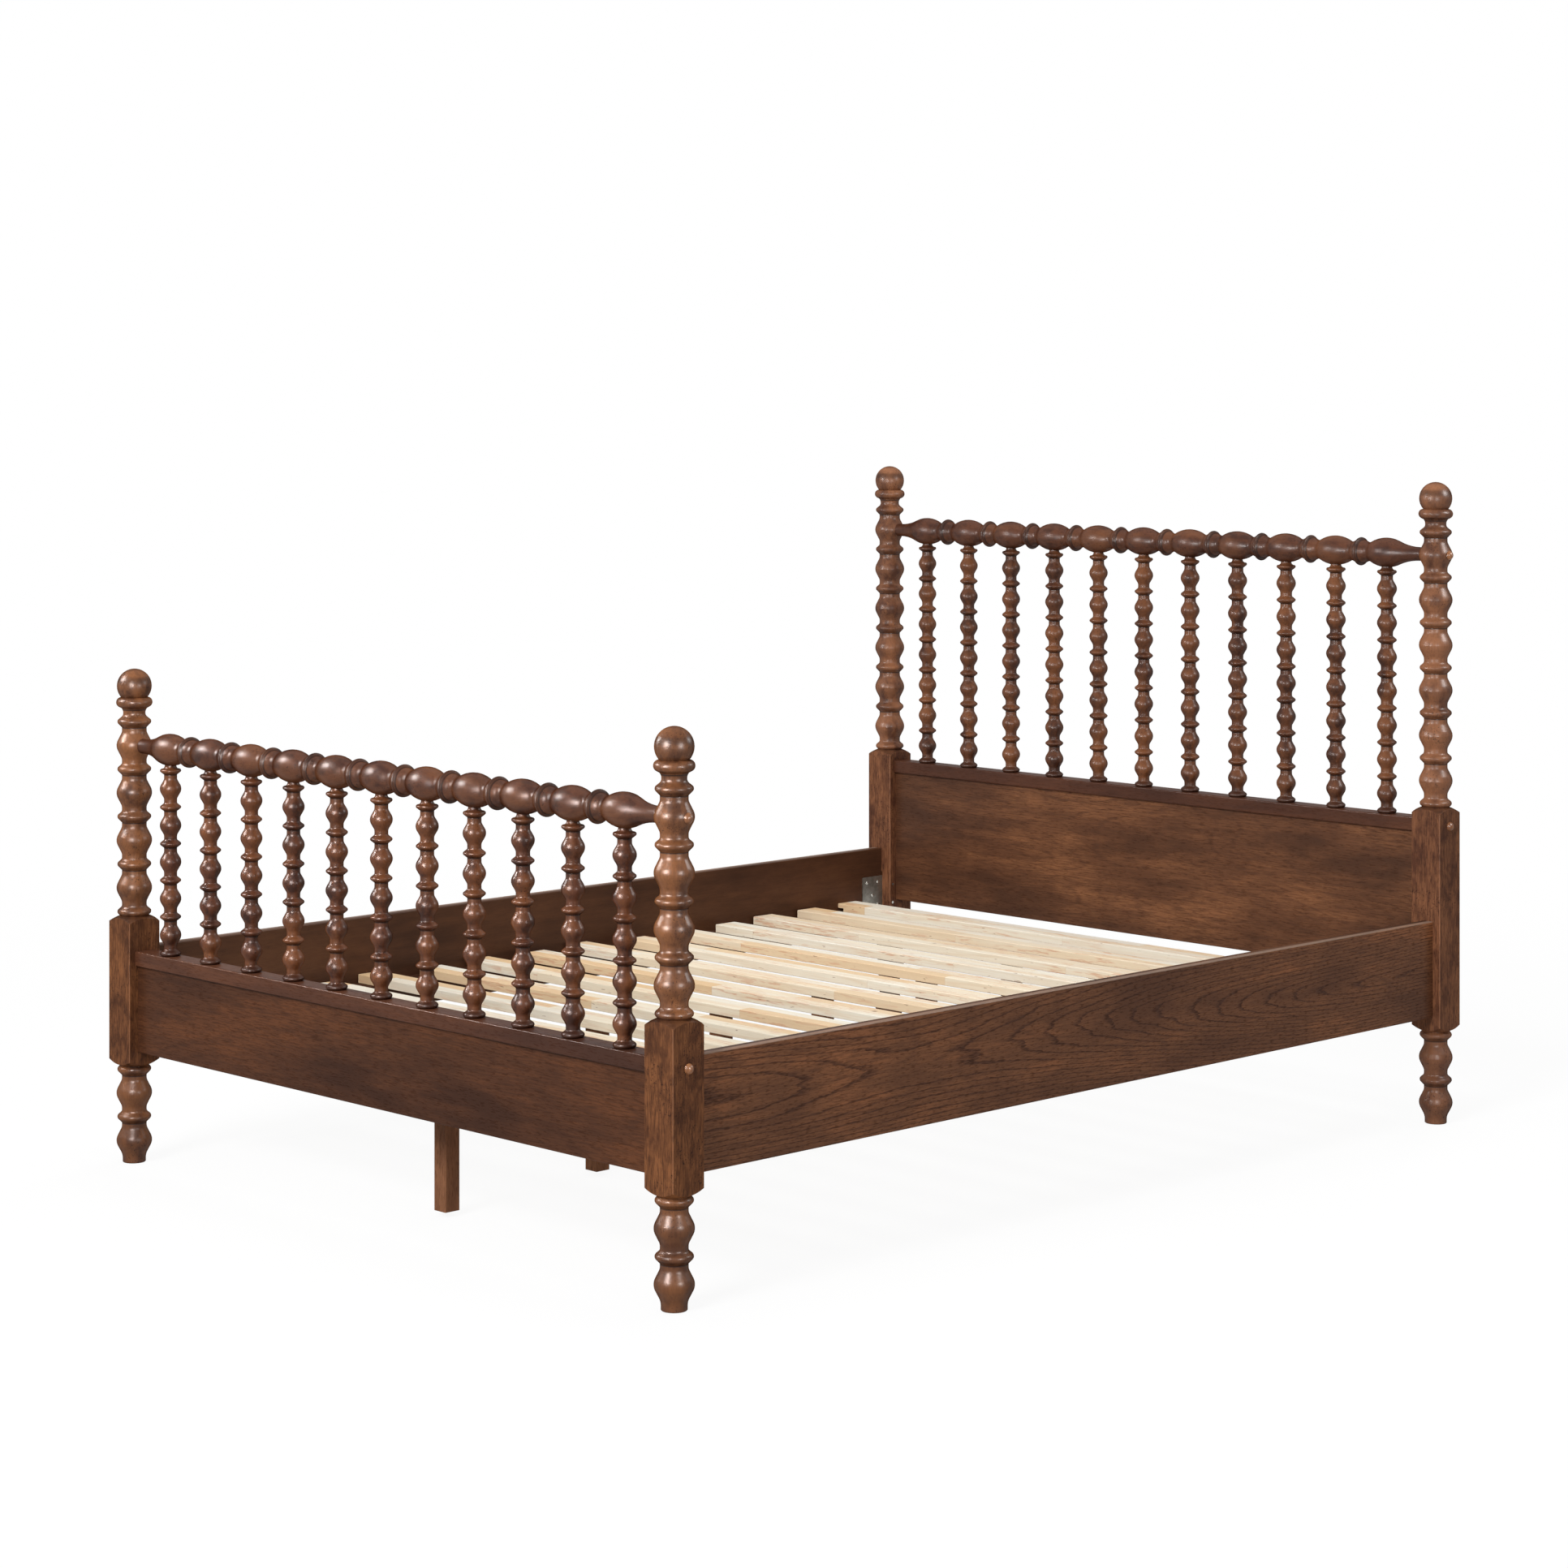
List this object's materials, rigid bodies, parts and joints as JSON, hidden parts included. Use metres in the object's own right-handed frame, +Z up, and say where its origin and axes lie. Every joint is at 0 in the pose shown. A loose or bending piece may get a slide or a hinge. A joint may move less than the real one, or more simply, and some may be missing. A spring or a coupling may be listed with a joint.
{
  "type": "spindle bed",
  "caption": "Queen-size wooden spindle bed frame with turned posts and spindles, panelled ends, deep side rails and loose pine slats.",
  "frame": {"origin": "on the floor, under the middle of the four posts", "axes": "+X to the right as seen from the foot, +Y along the bed to the head, +Z up"},
  "size_m": [1.63, 2.17, 1.3024],
  "materials": {
    "turned_wood": "stained brown, satin lacquer",
    "stained_rail": "stained brown, satin lacquer",
    "veneer_panel": "stained veneer, satin lacquer",
    "pine": "bare planed pine",
    "stained_leg": "stained brown",
    "zinc_plate": "zinc plated",
    "steel_hardware": "zinc plated",
    "brass": "plain"
  },
  "bodies": {
    "root": {"bolt_caps": "turned_wood", "bolt_inserts": "brass", "bracket_screws": "steel_hardware", "foot_cap_rail": "stained_rail", "foot_panel": "veneer_panel", "foot_post_left": "turned_wood", "foot_post_right": "turned_wood", "foot_spindle_01": "turned_wood", "foot_spindle_02": "turned_wood", "foot_spindle_03": "turned_wood", "foot_spindle_04": "turned_wood", "foot_spindle_05": "turned_wood", "foot_spindle_06": "turned_wood", "foot_spindle_07": "turned_wood", "foot_spindle_08": "turned_wood", "foot_spindle_09": "turned_wood", "foot_spindle_10": "turned_wood", "foot_spindle_11": "turned_wood", "foot_top_rail": "turned_wood", "head_cap_rail": "stained_rail", "head_panel": "veneer_panel", "head_post_left": "turned_wood", "head_post_right": "turned_wood", "head_spindle_01": "turned_wood", "head_spindle_02": "turned_wood", "head_spindle_03": "turned_wood", "head_spindle_04": "turned_wood", "head_spindle_05": "turned_wood", "head_spindle_06": "turned_wood", "head_spindle_07": "turned_wood", "head_spindle_08": "turned_wood", "head_spindle_09": "turned_wood", "head_spindle_10": "turned_wood", "head_spindle_11": "turned_wood", "head_top_rail": "turned_wood", "hook_pins": "steel_hardware", "ledge_screws": "steel_hardware", "leg_bolts": "steel_hardware", "post_bolts": "steel_hardware", "rail_brackets": "zinc_plate", "side_rail_left": "stained_rail", "side_rail_right": "stained_rail", "slat_01": "pine", "slat_02": "pine", "slat_03": "pine", "slat_04": "pine", "slat_05": "pine", "slat_06": "pine", "slat_07": "pine", "slat_08": "pine", "slat_09": "pine", "slat_10": "pine", "slat_11": "pine", "slat_12": "pine", "slat_13": "pine", "slat_14": "pine", "slat_ledge_left": "stained_leg", "slat_ledge_right": "stained_leg", "support_legs": "stained_leg"}
  },
  "joints": []
}
